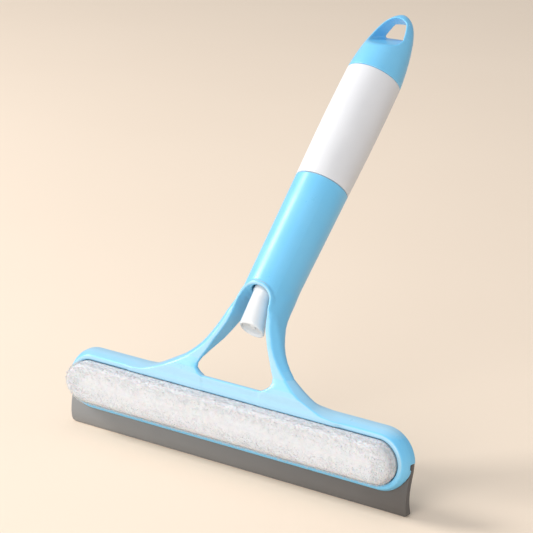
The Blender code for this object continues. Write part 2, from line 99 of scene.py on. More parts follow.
# Legs and sill by height above HEAD_Z, the sill's back by height, and its half length.
YOKE_START = 12.0
YOKE_END = 78.0
SILL_TOP = 23.5
SILL_RISE = [14.0, 18.0, 22.0]
SILL_BACK = [1.4, -4.6, -5.9]
SILL_HALF = 40.0

# Sleeve: radius by station, and its lower end by distance in front of the axis.
SLEEVE_STATION = [60, 95, 150, 175]
SLEEVE_RADIUS = [16.3, 16.65, 17.41, 17.73]
SLEEVE_FRONT = [-17.3, -16.2, -14, -11, -8, -6.3, -3.8, -1]
SLEEVE_START = [101, 98, 96, 95, 93.6, 91.5, 82, 81]

# Flattened side of the sleeve: the angle from the front that it starts at and the angle that it
# takes, in degrees, and its depth by station.
FACET_START = 47.0
FACET_TURN = 84.0
FACET_STATION = [76, 92, 150, 173]
FACET_DEPTH = [0, 0.6, 0.5, 0.15]

# Oval hole in the sleeve's lower wall: half sizes, its centre's distance in front of the axis, and
# the station that it starts at.
OVAL_HALF_X = 7.2
OVAL_HALF_DEPTH = 8.2
OVAL_CENTRE = 7.0
OVAL_START = 80.0

# Arch between the legs: half width by station.
ARCH_STATION = [55, 70, 76.4, 81.0, 85.3, 88.6, 90.9, 92.6, 93.8, ARCH_TOP]
ARCH_HALF = [15.0, 13.6, 12.4, 11.8, 11.2, 10.2, 8.7, 6.6, 3.6, 0.0]

# Raised lip round the arch: distance out from the opening, radius, and lowest station.
LIP_OUT = 1.4
LIP_R = 1.15
LIP_START = 72.0

# Blade: its section's front and back, by height.
BLADE_Z = [0.0, 1.5, 4.0, 7.4, 11.0, 15.0, 19.0, 23.0, 27.2, 30.2, 33.0]
BLADE_FRONT = [-2.2, -3.1, -4.1, -4.7, -4.75, -4.5, -3.9, -2.9, -1.6, -1.4, -1.4]
BLADE_BACK = [2.2, 2.0, 0.85, 0.0, -0.5, -0.5, 0.15, 1.15, 2.3, 2.75, 2.8]

# Clamp screws: their places along the head, their height, and the radius of their holes.
SCREW_X = (-90.0, -45.0, 0.0, 45.0, 90.0)
SCREW_Z = 38.7
SCREW_HOLE_R = 1.5

# Channel for the blade: gap in front of the rubber, its top, and the deeper room for the
# blade's upper edge.
CHANNEL_GAP = 0.3
CHANNEL_TOP = 33.3
CHANNEL_ROOM_Z = 30.0
CHANNEL_ROOM_Y = -2.6

# Cap: half width and half depth by station.
CAP_STATION = [250, 256, 260, 264, 268, 272, 276, 280, 284, 287, 290, 292.5, 295, 297.5, 299.5,
               301.5, 303, 304, CAP_TOP]
CAP_WIDTH = [18.3, 18.2, 18.0, 17.6, 17.2, 16.7, 16.2, 15.6, 14.8, 14.1, 13.2, 12.3, 11.2, 9.8,
             8.4, 6.5, 4.5, 2.6, 0.6]
CAP_DEPTH = [18.3, 18.2, 17.8, 17.2, 16.5, 15.6, 14.5, 13.2, 11.8, 10.8, 9.7, 8.8, 7.8, 6.5, 5.4,
             4.1, 2.9, 1.8, 0.5]

# Hanging hole: its floor and roof lines, half width, and the least wall beside it.
HOLE_FLOOR = 274.0
HOLE_RISE = 0.783
HOLE_ROOF = 299.4
HOLE_HALF = 11.7
LOOP_WALL = 3.3

# Socket in the cap for the bottle's end.
SOCKET_R = 15.8
SOCKET_END = 263.4

# Spout: its free end (x, -front, station), the degrees its line bends from the handle's, and the
# degrees its end turns to the front.
SPOUT_PLACE = (0, -0.4, 70.8)
SPOUT_BEND = 17.2
SPOUT_FACE = 21.0

# Pad: outline radius, radius of its back, height of its shoulder and the distance in from the
# edge that it takes, the crown on top of that, how far the left end laps over the rim, the number
# of loose fibres, and the width of the band at the edge and the share of them that crowds there.
PAD_R = 13.75
PAD_BACK_R = 13.5
PAD_SHOULDER = 6.2
PAD_SHOULDER_IN = 4.4
PAD_CROWN = 0.6
PAD_LAP = 3.0
FIBRES = 15000
EDGE_BAND = 1.6
EDGE_SHARE = 0.3

# Grid cell of each field mesh, and the room left round the CAD node's box.
FRAME_CELL = 0.62
CAP_CELL = 0.45
MARGIN = Vector((2.0, 2.0, 2.0))

# Moulding colours, the third being a painted highlight, and the heights in metres between which
# the painted highlight sets in.
BLUE = (0.165, 0.54, 0.85)
FLOW_AND_EDGE_BLUE = (0.26, 0.62, 0.88)
HIGHLIGHT_BLUE = (0.35, 0.6, 0.77)
HIGHLIGHT_FROM_TO = (0.021, 0.034)

# Camera: place and the directions of its right and up.
CAMERA_PLACE = (853.9, -1219.8, 554.0)
CAMERA_RIGHT = (0.8161, 0.5760, 0.0455)
CAMERA_UP = (-0.1942, 0.1993, 0.9605)
LENS = 173.25


# ---------------------------------------------------------------- placing

def handle_matrix():
    """Local Z runs along the handle's axis and local -Y towards the front, in millimetres."""
    return Matrix.Translation((0, AXIS_FOOT_Y, HEAD_Z)) @ Matrix.Rotation(-TILT, 4, "X")


def spout_matrix():
    """Local Z runs up the spout from its free end; its line is bent from the handle's.
    The shear turns the free end's face towards the front and leaves the spout's line alone."""
    bend = math.radians(SPOUT_BEND)
    shear = Matrix.Identity(4)
    shear[2][1] = -math.tan(math.radians(SPOUT_FACE))
    place = Matrix.Translation(SPOUT_PLACE) @ Matrix.Rotation(bend, 4, "X")
    return handle_matrix() @ place @ shear


def to_handle(points):
    """Row-frame points as (x, front, station) columns."""
    y = points[:, 1] - AXIS_FOOT_Y
    z = points[:, 2] - HEAD_Z
    front = z * math.sin(TILT) - y * math.cos(TILT)
    station = z * math.cos(TILT) + y * math.sin(TILT)
    return points[:, 0], front, station


def add_mesh(name, verts, faces, body, mat, smooth_angle=None):
    """A mesh piece from millimetre vertices that rides on one CAD body."""
    mesh = bpy.data.meshes.new(name)
    mesh.from_pydata([tuple(v) for v in np.asarray(verts) * MM], [], [tuple(f) for f in faces])
    mesh.validate()
    obj = bpy.data.objects.new(name, mesh)
    bpy.context.scene.collection.objects.link(obj)
    mesh.materials.append(mat)
    mesh.shade_smooth()
    if smooth_angle:
        mesh.set_sharp_from_angle(angle=math.radians(smooth_angle))
    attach(obj, body)
    return obj


# ---------------------------------------------------------------- distance fields

def blend_max(a, b, width):
    """Larger of two fields, rounded over the given width."""
    h = np.clip(0.5 + 0.5 * (a - b) / width, 0.0, 1.0)
    return b + (a - b) * h + width * h * (1.0 - h)


def blend_min(a, b, width):
    return -blend_max(-a, -b, width)


def sloped(table_x, table_y, x):
    """Table value at x, and the length factor that its slope gives a distance."""
    value = np.interp(x, table_x, table_y)
    step = 1.5
    rise = np.interp(x + step, table_x, table_y) - np.interp(x - step, table_x, table_y)
    return value, 1.0 / np.sqrt(1.0 + (rise / (2 * step)) ** 2)


def head_field(p):
    """Head without its well: a stadium that widens behind its front plane."""
    across = np.hypot(np.maximum(np.abs(p[:, 0]) - HALF_STRAIGHT, 0.0), p[:, 2] - HEAD_Z)
    depth = p[:, 1] - FRONT_Y
    radius, factor = sloped(RIM_DEPTH, RIM_RADIUS, depth)
    body = blend_max((across - radius) * factor, -depth, 1.3)
    return blend_max(body, depth - HEAD_DEPTH, 2.4)


def well_field(p):
    """Shallow well in the head's front for the pad."""
    across = np.hypot(np.maximum(np.abs(p[:, 0]) - HALF_STRAIGHT, 0.0), p[:, 2] - HEAD_Z)
    return blend_max(across - WELL_R, p[:, 1] - FRONT_Y - WELL_DEPTH, 0.5)


def legs_field(p):
    """Both legs: front, back, outer and inner walls by height, and a bevel on the outside."""
    x = np.abs(p[:, 0])
    rise = p[:, 2] - HEAD_Z
    front, front_factor = sloped(LEG_RISE, LEG_FRONT, rise)
    back, back_factor = sloped(LEG_RISE, LEG_BACK, rise)
    outer, outer_factor = sloped(LEG_RISE, LEG_OUTER, rise)
    inner, inner_factor = sloped(LEG_RISE, LEG_INNER, rise)
    limit = np.interp(rise, LEG_RISE, LEG_LIMIT)
    taper = 1.5 * np.clip((p[:, 1] - front) / np.maximum(back - front, 1.0), 0.0, 1.0)
    inner_back = np.interp(rise, LEG_RISE, LEG_INNER_BACK)
    across = np.clip((x - inner) / np.maximum(0.6 * (outer - inner), 2.0), 0.0, 1.0)
    back = inner_back + (back - inner_back) * across
    outside, inside = (x - outer) * outer_factor, (inner - taper - x) * inner_factor
    ahead, behind = (front - p[:, 1]) * front_factor, (p[:, 1] - back) * back_factor * 0.8
    bevel = np.interp(rise, LEG_RISE, LEG_BEVEL)
    slant = (x - outer + bevel - 0.8 * (p[:, 1] - front)) * 0.78 * outer_factor
    body = blend_max(blend_max(outside, ahead, 1.0), slant, 1.0)
    body = blend_max(blend_max(body, behind, 4.5), inside, 1.1)
    _, off, _ = to_handle(p)
    body = blend_max(body, np.hypot(p[:, 0], off) - limit, 2.0)
    body = blend_max(body, YOKE_START - rise, 0.5)
    return np.maximum(body, rise - YOKE_END)


def sill_field(p):
    """Low wall across the foot of the window, between the legs."""
    rise = p[:, 2] - HEAD_Z
    back = np.interp(rise, SILL_RISE, SILL_BACK)
    body = blend_max(FRONT_Y - p[:, 1], (p[:, 1] - back) * 0.7, 0.8)
    body = blend_max(body, rise - SILL_TOP, 1.4)
    return np.maximum(np.maximum(body, YOKE_START - rise), np.abs(p[:, 0]) - SILL_HALF)


def sleeve_radius(station):
    return np.interp(station, SLEEVE_STATION, SLEEVE_RADIUS)


def side_facet(x, off, station):
    """How far the sleeve's side is flattened behind the ridge that runs up from each leg."""
    past_ridge = np.arctan2(np.abs(x), off) - math.radians(FACET_START)
    turn = np.clip(past_ridge / math.radians(FACET_TURN), 0, 1)
    depth = np.interp(station, FACET_STATION, FACET_DEPTH)
    return 6.75 * turn * (1.0 - turn) ** 2 * depth


def sleeve_field(p):
    """Outside of the sleeve, whose lower end is cut back towards the window."""
    x, off, station = to_handle(p)
    radial = np.hypot(x, off) - sleeve_radius(station) + side_facet(x, off, station)
    body = blend_max(radial, station - SLEEVE_END, 0.5)
    start, factor = sloped(SLEEVE_FRONT, SLEEVE_START, off)
    return blend_max(body, (start - station) * factor, 1.8)


def outline_distance(u, v, points):
    """Distance from (u, v) to an open line through the given points."""
    nearest = np.full(u.shape, 1e9)
    for (u0, v0), (u1, v1) in zip(points, points[1:]):
        du, dv = u1 - u0, v1 - v0
        t = np.clip(((u - u0) * du + (v - v0) * dv) / (du * du + dv * dv), 0.0, 1.0)
        nearest = np.minimum(nearest, np.hypot(u - u0 - t * du, v - v0 - t * dv))
    return nearest


def arch_fields(p):
    """The opening between the legs, and the raised lip that borders it on the sleeve."""
    x, off, station = to_handle(p)
    half = np.interp(station, ARCH_STATION, ARCH_HALF)
    opening = outline_distance(np.abs(x), station, list(zip(ARCH_HALF, ARCH_STATION)))
    within = (np.abs(x) < half) & (station < ARCH_TOP)
    opening = np.where(within, -opening, opening)
    fade = np.clip((station - 70.0) / 16.0, 0.0, 1.0)
    lip = np.hypot(opening - LIP_OUT, np.hypot(x, off) - sleeve_radius(station) + 0.2)
    lip = np.maximum(np.maximum(lip - LIP_R * fade, LIP_START - station), -off)
    opening = np.maximum(opening, 27.0 - (p[:, 2] - HEAD_Z))
    return opening, lip


def bore_field(p):
    """Bore of the sleeve, and the oval hole in its lower wall that the spout moves in."""
    x, off, station = to_handle(p)
    bore = blend_max(np.hypot(x, off) - BORE_R, BORE_START - station, 0.6)
    oval = np.hypot(x / OVAL_HALF_X, (off - OVAL_CENTRE) / OVAL_HALF_DEPTH)
    oval = (oval - 1.0) * OVAL_HALF_X
    oval = np.maximum(np.maximum(oval, OVAL_START - station), station - BORE_START - 2.0)
    return np.minimum(bore, oval)


def channel_field(p):
    """Room for the rubber blade, open to the head's back and underside."""
    front, factor = sloped(BLADE_Z, BLADE_FRONT, p[:, 2])
    front = np.where(p[:, 2] > CHANNEL_ROOM_Z, CHANNEL_ROOM_Y, front) - CHANNEL_GAP
    return np.maximum((front - p[:, 1]) * factor, p[:, 2] - CHANNEL_TOP)


def frame_field(p):
    """The blue frame; the fillet between sill and legs fades out at the sill's ends."""
    head = head_field(p)
    fillet = np.interp(np.abs(p[:, 0]), [26.0, 39.0], [1.6, 0.05])
    legs = blend_min(legs_field(p), sill_field(p), fillet)
    body = blend_min(head, legs, 3.0)
    body = blend_min(body, sleeve_field(p), 3.2)
    opening, lip = arch_fields(p)
    body = blend_max(body, -opening, 0.8)
    body = blend_min(body, lip, 0.9)
    body = blend_max(body, -well_field(p), 0.9)
    body = blend_max(body, -bore_field(p), 0.4)
    body = blend_max(body, -channel_field(p), 0.4)
    for x in SCREW_X:
        hole = np.hypot(p[:, 0] - x, p[:, 2] - SCREW_Z) - SCREW_HOLE_R
        body = np.maximum(body, -np.maximum(hole, -4.0 - p[:, 1]))
    return body


def cap_field(p):
    """The blue end cap, its hanging hole from front to back and the socket under it."""
    x, off, station = to_handle(p)
    width, factor = sloped(CAP_STATION, CAP_WIDTH, station)
    depth = np.interp(station, CAP_STATION, CAP_DEPTH)
    ratio = np.hypot(x / width, off / depth)
    slope = np.hypot(x / width ** 2, off / depth ** 2) + 1e-6
    body = ratio * (ratio - 1.0) / slope * factor
    body = np.maximum(np.minimum(body, 60.0), station - CAP_TOP)
    body = blend_max(body, SEAM + 0.3 - station, 0.5)
    floor = HOLE_FLOOR + (14.0 - off) * HOLE_RISE
    roof = HOLE_ROOF + (6.0 - off) * 0.1
    reach = np.clip((station - floor - 2.5) / (roof - floor - 2.5), 0.0, 1.2)
    arch = np.sqrt(np.clip(1.0 - reach ** 2, 0.0, 1.0))
    half = np.minimum(HOLE_HALF * arch, width - LOOP_WALL)
    hole = blend_max((np.abs(x) - half) * 0.8, (floor - station) * 0.787, 2.2)
    hole = blend_max(hole, (station - roof) * 0.9, 1.0)
    body = blend_max(body, -hole, 1.3)
    socket = np.maximum(np.hypot(x, off) - SOCKET_R, station - SOCKET_END)
    return np.maximum(body, -socket)


def field_mesh(field, low, high, cell):
    """Quad skin of a distance field's zero level inside a box, all in millimetres.
    Only blocks of cells near the surface are worked out in full."""
    low = np.asarray(low, float)
    block = 8
    blocks = np.ceil((np.asarray(high, float) - low) / (cell * block)).astype(int) + 1
    shape = blocks * block
    index = np.indices(blocks).reshape(3, -1).T
    reach = cell * block
    value = field(low + (index + 0.5) * reach - 0.5 * cell)
    grid = np.repeat(np.repeat(np.repeat(value.reshape(blocks), block, 0), block, 1), block, 2)
    grid = grid.astype(np.float32)
    local = np.indices((block,) * 3).reshape(3, -1).T
    near = index[np.abs(value) < 1.7 * reach]
    for chunk in np.array_split(near, 24):
        if not len(chunk):
            continue
        nodes = (chunk[:, None, :] * block + local[None]).reshape(-1, 3)
        grid[nodes[:, 0], nodes[:, 1], nodes[:, 2]] = field(low + nodes * cell)
    return skin(field, grid, low, cell, shape)


def skin(field, grid, low, cell, shape):
    """Surface nets: one vertex in each crossed cell and one quad for each crossed grid edge."""
    inside = grid < 0
    strides = np.array([shape[1] * shape[2], shape[2], 1])
    cells, points, quads, flips = [], [], [], []
    for axis in range(3):
        first = [slice(1, -1)] * 3
        second = [slice(1, -1)] * 3
        first[axis] = slice(0, -1)
        second[axis] = slice(1, None)
        a, b = inside[tuple(first)], inside[tuple(second)]
        edge = np.argwhere(a != b)
        offset = np.ones(3, int)
        offset[axis] = 0
        node = edge + offset
        after = node.copy()
        after[:, axis] += 1
        va = grid[node[:, 0], node[:, 1], node[:, 2]]
        vb = grid[after[:, 0], after[:, 1], after[:, 2]]
        cross = node.astype(float)
        cross[:, axis] += va / (va - vb)
        u, v = (axis + 1) % 3, (axis + 2) % 3
        around = []
        for du, dv in ((-1, -1), (0, -1), (0, 0), (-1, 0)):
            corner = node.copy()
            corner[:, u] += du
            corner[:, v] += dv
            around.append(corner @ strides)
            cells.append(around[-1])
            points.append(cross)
        quads.append(np.stack(around, 1))
        flips.append(va > 0)
    cells = np.concatenate(cells)
    points = np.concatenate(points)
    ids, inverse = np.unique(cells, return_inverse=True)
    count = np.bincount(inverse)
    verts = np.stack([np.bincount(inverse, points[:, k]) / count for k in range(3)], 1)
    verts = low + verts * cell
    quads = np.searchsorted(ids, np.concatenate(quads))
    flips = np.concatenate(flips)
    quads[flips] = quads[flips][:, ::-1]
    for _ in range(2):
        verts = verts - settle(field, verts, 0.5 * cell)
    return verts, quads


def settle(field, verts, limit):
    """Step that brings each vertex onto the field's zero level."""
    here = field(verts)
    slope = np.zeros_like(verts)
    for k in range(3):
        shift = np.zeros(3)
        shift[k] = 0.05
        slope[:, k] = (field(verts + shift) - field(verts - shift)) / 0.1
    size = np.maximum((slope ** 2).sum(1), 0.3)
    step = slope * (here / size)[:, None]
    length = np.linalg.norm(step, axis=1, keepdims=True)
    return step * np.minimum(1.0, limit / np.maximum(length, 1e-9))


# ---------------------------------------------------------------- materials

class Finish:
    """A Principled material with a few helpers for procedural detail."""

    def __init__(self, name, colour, roughness, **inputs):
        self.mat = bpy.data.materials.new(name)
        self.mat.use_nodes = True
        self.tree = self.mat.node_tree
        self.shader = self.tree.nodes["Principled BSDF"]
        self.shader.inputs["Base Color"].default_value = (*colour, 1.0)
        self.shader.inputs["Roughness"].default_value = roughness
        for key, value in inputs.items():
            self.shader.inputs[key.replace("_", " ")].default_value = value
        self.place = self.tree.nodes.new("ShaderNodeTexCoord").outputs["Object"]
        self.normal = None

    def link(self, a, b):
        self.tree.links.new(a, b)

    def noise(self, scale, detail=3.0, stretch=(1, 1, 1)):
        mapping = self.tree.nodes.new("ShaderNodeMapping")
        mapping.inputs["Scale"].default_value = stretch
        self.link(self.place, mapping.inputs["Vector"])
        node = self.tree.nodes.new("ShaderNodeTexNoise")
        node.inputs["Scale"].default_value = scale
        node.inputs["Detail"].default_value = detail
        self.link(mapping.outputs[0], node.inputs["Vector"])
        return node.outputs["Fac"]

    def spread(self, fac, low, high, start=0.3, end=0.7):
        """Map a factor to a range of values."""
        node = self.tree.nodes.new("ShaderNodeMapRange")
        node.inputs["From Min"].default_value = start
        node.inputs["From Max"].default_value = end
        node.inputs["To Min"].default_value = low
        node.inputs["To Max"].default_value = high
        self.link(fac, node.inputs["Value"])
        return node.outputs["Result"]

    def mix(self, fac, a, b):
        """Mix two colours by a factor; either colour may be a socket."""
        node = self.tree.nodes.new("ShaderNodeMix")
        node.data_type = "RGBA"
        self.link(fac, node.inputs[0])
        for socket, value in ((node.inputs[6], a), (node.inputs[7], b)):
            if isinstance(value, bpy.types.NodeSocket):
                self.link(value, socket)
            else:
                socket.default_value = (*value, 1.0)
        return node.outputs[2]

    def colour(self, socket):
        self.link(socket, self.shader.inputs["Base Color"])

    def roughness(self, socket):
        self.link(socket, self.shader.inputs["Roughness"])

    def bump(self, height, distance, strength=1.0):
        node = self.tree.nodes.new("ShaderNodeBump")
        node.inputs["Strength"].default_value = strength
        node.inputs["Distance"].default_value = distance
        self.link(height, node.inputs["Height"])
        if self.normal:
            self.link(self.normal, node.inputs["Normal"])
        self.normal = node.outputs["Normal"]
        self.link(self.normal, self.shader.inputs["Normal"])

    def along(self, axis, low, high):
        """From 0 to 1 along an axis between two places in the piece's own metres."""
        split = self.tree.nodes.new("ShaderNodeSeparateXYZ")
        self.link(self.place, split.inputs[0])
        return self.spread(split.outputs[axis], 0.0, 1.0, low, high)

    def outward(self):
        """How squarely a face looks to the front or straight up, whichever is more."""
        normal = self.tree.nodes.new("ShaderNodeTexCoord").outputs["Normal"]
        facing = []
        for direction in ((0, -1, 0), (0, 0, 1)):
            node = self.tree.nodes.new("ShaderNodeVectorMath")
            node.operation = "DOT_PRODUCT"
            node.inputs[1].default_value = direction
            self.link(normal, node.inputs[0])
            facing.append(node.outputs["Value"])
        larger = self.tree.nodes.new("ShaderNodeMath")
        larger.operation = "MAXIMUM"
        self.link(facing[0], larger.inputs[0])
        self.link(facing[1], larger.inputs[1])
        return larger.outputs[0]

    def pointiness(self):
        return self.tree.nodes.new("ShaderNodeNewGeometry").outputs["Pointiness"]


def moulded_plastic(name, colour, flow_and_edge, pale, roughness=0.32):
    """Satin injection moulding: spark-eroded grain, faint flow marks tinted paler, sharp convex
    edges drawn paler, and a painted highlight in the pale colour on the upper flat faces that look
    to the front or up."""
    f = Finish(name, colour, roughness, IOR=1.5, Coat_Weight=0.12, Coat_Roughness=0.2,
               Subsurface_Weight=0.05, Subsurface_Scale=0.003)
    f.shader.inputs["Subsurface Radius"].default_value = (0.6, 0.9, 1.0)
    flow = f.noise(26.0, 4.0, (0.5, 1.4, 1.0))
    tint = f.mix(f.spread(flow, 0.0, 0.35), colour, flow_and_edge)
    # Sharp convex edges are drawn in the paler tint.
    edge = f.spread(f.pointiness(), 0.0, 0.8, 0.52, 0.6)
    # Painted highlight: above these heights, faces that look to the front or up turn pale,
    # standing in for the lights' reflection.
    upper = f.mix(f.along("Z", *HIGHLIGHT_FROM_TO), colour, pale)
    tint = f.mix(f.spread(f.outward(), 0.0, 1.0, 0.74, 0.96), tint, upper)
    f.colour(f.mix(edge, tint, flow_and_edge))
    smudge = f.noise(90.0, 5.0)
    f.roughness(f.spread(smudge, roughness - 0.05, roughness + 0.09))
    f.bump(f.noise(2600.0, 2.0), 0.00002, 0.5)
    f.bump(flow, 0.00006, 0.5)
    return f.mat


def bottle_plastic():
    """Milky blow-moulded polyethylene: faintly wavy wall, soft scattering, fine scuffs."""
    white = (0.74, 0.75, 0.78)
    f = Finish("milky_bottle_look", white, 0.5, IOR=1.45, Subsurface_Weight=0.3,
               Subsurface_Scale=0.006)
    f.shader.inputs["Subsurface Radius"].default_value = (1.0, 0.97, 0.92)
    wall = f.noise(38.0, 2.0)
    f.colour(f.mix(f.spread(wall, 0.0, 1.0), white, (0.705, 0.715, 0.745)))
    scuff = f.noise(420.0, 6.0, (1.0, 0.25, 0.25))
    f.roughness(f.spread(scuff, 0.46, 0.58))
    f.bump(wall, 0.00012, 0.5)
    f.bump(f.noise(1500.0, 2.0), 0.00002, 0.4)
    return f.mat


def blade_rubber():
    """Grey extruded rubber: die lines along the blade, a matt skin with mottled bloom, and painted
    light that makes it lighter towards the left end, nearer the key lamp, and darker towards the
    right."""
    dark, pale = (0.078, 0.072, 0.068), (0.118, 0.11, 0.105)
    f = Finish("grey_rubber_look", dark, 0.6, IOR=1.48, Sheen_Weight=0.12, Sheen_Roughness=0.5)
    lines = f.noise(900.0, 2.0, (0.01, 0.3, 1.0))
    bloom = f.noise(45.0, 5.0, (0.4, 1.0, 1.0))
    # Painted light: the first mix is the shaded right end and the second the lit left end, each
    # mottled by the bloom; they blend along the blade below.
    near = f.mix(f.spread(bloom, 0.25, 0.75), dark, pale)
    far = f.mix(f.spread(bloom, 0.25, 0.75), (0.2, 0.203, 0.206), (0.27, 0.275, 0.28))
    f.colour(f.mix(f.along("X", -0.12, 0.12), far, near))
    f.roughness(f.spread(bloom, 0.5, 0.68))
    f.bump(lines, 0.00003, 0.6)
    f.bump(f.noise(1800.0, 2.0), 0.00002, 0.4)
    return f.mat


def fibre_material(name, colour, shade):
    """Microfibre pile: matt with a soft sheen, and painted shade that makes it greyer in the
    hollows of its bump.
    """
    f = Finish(name, colour, 0.95, Sheen_Weight=0.5, Sheen_Roughness=0.5,
               Subsurface_Weight=0.2, Subsurface_Scale=0.002)
    f.shader.inputs["Specular IOR Level"].default_value = 0.15
    clump = f.noise(330.0, 4.0)
    f.colour(f.mix(f.spread(clump, 0.0, 1.0, 0.35, 0.65), shade, colour))
    f.bump(f.noise(1700.0, 4.0), 0.0002, 0.6)
    f.bump(clump, 0.0002, 0.3)
    return f.mat


def brushed_metal(name, colour, roughness):
    """Metal with fine streaks."""
    f = Finish(name, colour, roughness, Metallic=1.0)
    streak = f.noise(1500.0, 3.0, (1.0, 0.1, 1.0))
    f.roughness(f.spread(streak, roughness - 0.08, roughness + 0.12))
    f.bump(streak, 0.00002, 0.4)
    return f.mat


def plain_polymer(name, colour, roughness, **inputs):
    """Any other plastic, foam or rubber, with a fine even grain."""
    f = Finish(name, colour, roughness, **inputs)
    grain = f.noise(700.0, 4.0)
    tinted = tuple(0.86 * c for c in colour)
    f.colour(f.mix(f.spread(grain, 0.0, 0.6), colour, tinted))
    f.roughness(f.spread(grain, roughness - 0.05, roughness + 0.1))
    f.bump(grain, 0.00003, 0.4)
    return f.mat


def hook_tape():
    """Woven tape with rows of tiny hooks."""
    f = Finish("hook_tape_look", (0.05, 0.05, 0.055), 0.75)
    weave = f.noise(1400.0, 1.0)
    f.colour(f.mix(f.spread(weave, 0.0, 1.0), (0.035, 0.035, 0.04), (0.14, 0.14, 0.15)))
    f.bump(weave, 0.0004, 1.0)
    return f.mat


# ---------------------------------------------------------------- pieces

def lathe(name, profile, matrix, body, mat, sides=144, smooth_angle=35.0):
    """Closed ring of (radius, station) points turned about local Z; radius 0 closes the axis."""
    turns = [math.tau * i / sides for i in range(sides)]
    verts, rows = [], []
    for radius, station in profile:
        if radius == 0:
            rows.append([len(verts)] * sides)
            verts.append((0.0, 0.0, station))
        else:
            rows.append(list(range(len(verts), len(verts) + sides)))
            verts += [(radius * math.cos(t), radius * math.sin(t), station) for t in turns]
    faces = []
    for a, b in zip(rows, rows[1:] + rows[:1]):
        for i in range(sides):
            j = (i + 1) % sides
            face = []
            for corner in (a[i], b[i], b[j], a[j]):
                if corner not in face:
                    face.append(corner)
            if len(face) > 2:
                faces.append(face)
    placed = [matrix @ Vector(v) for v in verts]
    return add_mesh(name, placed, faces, body, mat, smooth_angle)


def rounded(profile, radius, steps=4):
    """Replace each sharp corner of a closed profile with an arc where there is room."""
    out = []
    count = len(profile)
    for i, corner in enumerate(profile):
        p = Vector(corner)
        a = Vector(profile[i - 1]) - p
        b = Vector(profile[(i + 1) % count]) - p
        if corner[0] == 0 or a.length < 1e-6 or b.length < 1e-6 or a.angle(b) > 2.7:
            out.append(corner)
            continue
        reach = min(radius, 0.4 * a.length, 0.4 * b.length)
        start, end = p + a.normalized() * reach, p + b.normalized() * reach
        for k in range(steps + 1):
            t = k / steps
            q = start * (1 - t) ** 2 + p * 2 * t * (1 - t) + end * t ** 2
            out.append((q.x, q.y))
    return out


def make_frame(mat):
    low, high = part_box("main_frame")
    verts, quads = field_mesh(frame_field, low / MM - MARGIN, high / MM + MARGIN, FRAME_CELL)
    obj = add_mesh("squeegee_frame", verts, quads, "frame", mat)
    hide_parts("main_frame")


def make_cap(mat):
    low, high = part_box("end_cap")
    verts, quads = field_mesh(cap_field, low / MM - MARGIN, high / MM + MARGIN, CAP_CELL)
    obj = add_mesh("looped_cap", verts, quads, "bottle_body", mat)
    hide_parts("end_cap")


def make_blade(mat):
    """Extruded rubber strip whose lower corners are rounded and whose edges are softened."""
    _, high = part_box("rubber_blade")
    half = high.x / MM
    top = BLADE_Z[-1]
    heights = sorted(set(np.round(np.linspace(0, top, 30), 3)) | {0.4, 0.8, 1.2, 2.0})
    stations = np.concatenate([-half + np.array([0, 0.15, 0.4, 0.8, 1.3, 2.0, 3.0]),
                               np.linspace(-half + 6, half - 6, 60),
                               half - np.array([3.0, 2.0, 1.3, 0.8, 0.4, 0.15, 0])])
    corner, soften = 2.6, 0.35
    verts, rows = [], []
    for x in stations:
        inset = max(0.0, corner - (half - abs(x)))
        lift = corner - math.sqrt(max(corner ** 2 - inset ** 2, 0.0))
        ring = []
        thin = soften * max(0.0, 1.0 - (half - abs(x)) / 0.5) ** 2
        for side, table in ((0, BLADE_FRONT), (1, BLADE_BACK)):
            column = []
            for z in heights:
                height = lift + z * (top - lift) / top
                y = np.interp(height, BLADE_Z, table)
                soft = soften * max(0.0, 1.0 - z / 0.6) ** 2 + thin
                column.append((x, y + (soft if side == 0 else -soft), height))
            ring += column if side == 0 else column[::-1]
        rows.append(range(len(verts), len(verts) + len(ring)))
        verts += ring
    faces = []
    size = len(rows[0])
    for a, b in zip(rows, rows[1:]):
        for i in range(size):
            j = (i + 1) % size
            faces.append((a[i], a[j], b[j], b[i]))
    faces.append(tuple(rows[0])[::-1])
    faces.append(tuple(rows[-1]))
    obj = add_mesh("wiper_blade", verts, faces, "frame", mat, 50.0)
    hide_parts("rubber_blade")


def stadium_point(turn, radius, half):
    """Point on a stadium outline by arc length, turn from 0 to 1, and its outward direction."""
    arc = math.pi * WELL_R
    straight = 2 * HALF_STRAIGHT
    run = turn * 2 * (arc + straight)
    for side in (1, -1):
        if run < arc:
            angle = side * (math.pi / 2 - math.pi * run / arc)
            out = (side * abs(math.cos(angle)), math.sin(angle))
            return side * half + radius * out[0], radius * out[1], out
        run -= arc
        if run < straight:
            x = side * (half - 2 * half * run / straight)
            return x, -side * radius, (0.0, -float(side))
        run -= straight
    return half, radius, (0.0, 1.0)


def pad_height(inset):
    """How far the pile's face stands in front of the backing, by distance in from the edge."""
    t = min(inset / PAD_SHOULDER_IN, 1.0)
    shoulder = PAD_SHOULDER * (1.0 - (1.0 - t) ** 2.4) ** 0.6
    return shoulder + PAD_CROWN * min(inset / 13.0, 1.0)


def pad_surface(turn, inset, base_y):
    """A point on the pile and its rough outward direction; the left end laps over the rim."""
    radius = max(PAD_R - inset, 0.02)
    x, z, out = stadium_point(turn, radius, HALF_STRAIGHT)
    tuft = noise.noise(Vector((x * 0.45, z * 0.45, 3.0))) * 0.12
    tuft += noise.noise(Vector((x * 1.3, z * 1.3, 9.0))) * 0.09
    rim = noise.noise(Vector((x * 0.6, z * 0.6, 21.0))) * 0.35 * max(0.0, 1.0 - inset / 3.0)
    x += out[0] * rim - PAD_LAP * max(0.0, -out[0]) * min(1.0, inset / 0.7)
    z += out[1] * rim
    lift = max(0.0, 1.0 - inset / 4.0)
    normal = Vector((out[0] * lift, -1.0 + 0.6 * lift, out[1] * lift)).normalized()
    return Vector((x, base_y - pad_height(inset) - tuft, z + HEAD_Z)), normal


